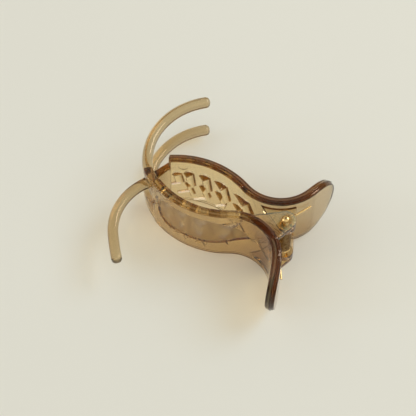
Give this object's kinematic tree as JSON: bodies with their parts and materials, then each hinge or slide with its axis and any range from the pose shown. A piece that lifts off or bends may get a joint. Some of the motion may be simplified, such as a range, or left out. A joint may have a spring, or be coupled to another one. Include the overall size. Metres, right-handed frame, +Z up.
{
  "type": "ponytail claw clip",
  "caption": "Small curved claw clip of clear brown plastic: mirrored jaws on a sprung hinge pin, leaf-shaped thumb levers and long crossing claws, lying on its side.",
  "frame": {"origin": "bottom centre of the closed clip's box, lying on its side on the lower rims", "axes": "+X from the claws to the thumb levers, +Y from the front jaw with its pair of claws to the rear jaw, +Z up along the hinge pin"},
  "size_m": [0.0624, 0.0656, 0.025],
  "materials": {
    "brown_plastic": "clear tinted, polished, darker where one looks along the wall",
    "pin_metal": "gold plated, smooth",
    "spring_metal": "gold plated drawn wire"
  },
  "bodies": {
    "rear": {"rear_jaw": "brown_plastic", "hinge_pin": "pin_metal", "spring": "spring_metal"},
    "front": {"front_jaw": "brown_plastic"}
  },
  "joints": [
    {"name": "jaw_hinge", "type": "hinge", "parent": "rear", "child": "front", "pos_m": [0.02405, -0.00081, 0.012], "axis": [0, 0, 1], "range_deg": [0, 135], "stiffness_Nm_per_rad": 0.06, "springref_deg": -57.3, "deforming": ["spring"]}
  ]
}
